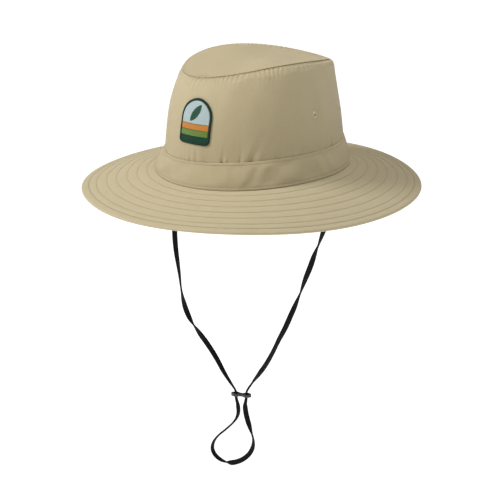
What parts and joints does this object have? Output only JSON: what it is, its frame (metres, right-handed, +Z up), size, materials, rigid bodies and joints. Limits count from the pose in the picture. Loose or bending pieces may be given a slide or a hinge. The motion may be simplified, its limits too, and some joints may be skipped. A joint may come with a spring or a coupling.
{
  "type": "boonie hat",
  "caption": "Wide-brimmed sun hat with an oval crown, stitched band and brim, air eyelets, a sewn patch and a chin cord with a slider.",
  "frame": {"origin": "centre of the head opening, at the height of the seam where the crown and the brim meet", "axes": "+Z up through the crown, the front of the hat towards -Y, +X towards the wearer's left"},
  "size_m": [0.313, 0.342, 0.4273],
  "materials": {
    "crown_cloth": "woven polyester-cotton, khaki, soft sheen",
    "brim_cloth": "woven polyester-cotton, khaki, stitched in rows",
    "brim_core": "non-woven stiffener",
    "under_cloth": "woven polyester-cotton, khaki",
    "sweatband_cloth": "wicking knit, khaki",
    "tape_cloth": "bias tape",
    "khaki_thread": "sewing thread",
    "eyelet_thread": "satin stitch",
    "patch_green": "twill and satin stitch, dark green",
    "patch_pale": "satin stitch, pale blue-grey",
    "patch_orange": "satin stitch, orange",
    "patch_leaf_green": "satin stitch, leaf green",
    "cord_webbing": "flat woven cord, black",
    "slider_plastic": "moulded plastic, black, satin"
  },
  "bodies": {
    "hat": {"crown_tip": "crown_cloth", "crown_side": "crown_cloth", "crown_band": "crown_cloth", "brim_top": "brim_cloth", "brim_interlining": "brim_core", "brim_under": "under_cloth", "sweatband": "sweatband_cloth", "tip_seam_tape": "tape_cloth", "tip_topstitch": "khaki_thread", "back_seam_stitch": "khaki_thread", "band_top_stitch": "khaki_thread", "band_bottom_stitch": "khaki_thread", "brim_stitching": "khaki_thread", "brim_edge_stitch": "khaki_thread", "sweatband_stitch": "khaki_thread", "eyelet_left_front": "eyelet_thread", "eyelet_left_rear": "eyelet_thread", "eyelet_right_front": "eyelet_thread", "eyelet_right_rear": "eyelet_thread", "patch_base": "patch_green", "patch_border": "patch_green", "patch_pale_field": "patch_pale", "patch_orange_band": "patch_orange", "patch_green_band": "patch_leaf_green", "patch_leaf": "patch_green", "cord_tab_left": "cord_webbing", "cord_tab_right": "cord_webbing", "bartack_left": "cord_webbing", "bartack_right": "cord_webbing"},
    "chin_cord": {"chin_cord_left": "cord_webbing", "chin_cord_right": "cord_webbing", "chin_cord_loop": "cord_webbing"},
    "cord_slider": {"cord_slider": "slider_plastic"}
  },
  "joints": [
    {"name": "cord_swing", "type": "hinge", "parent": "hat", "child": "chin_cord", "pos_m": [0, 0, -0.011], "axis": [1, 0, 0], "range_deg": [-70, 70]},
    {"name": "slider_slide", "type": "slide", "parent": "chin_cord", "child": "cord_slider", "axis": [0, 0, 1], "range_m": [-0.035, 0.1], "deforming": ["chin_cord_left", "chin_cord_right", "chin_cord_loop"]}
  ]
}
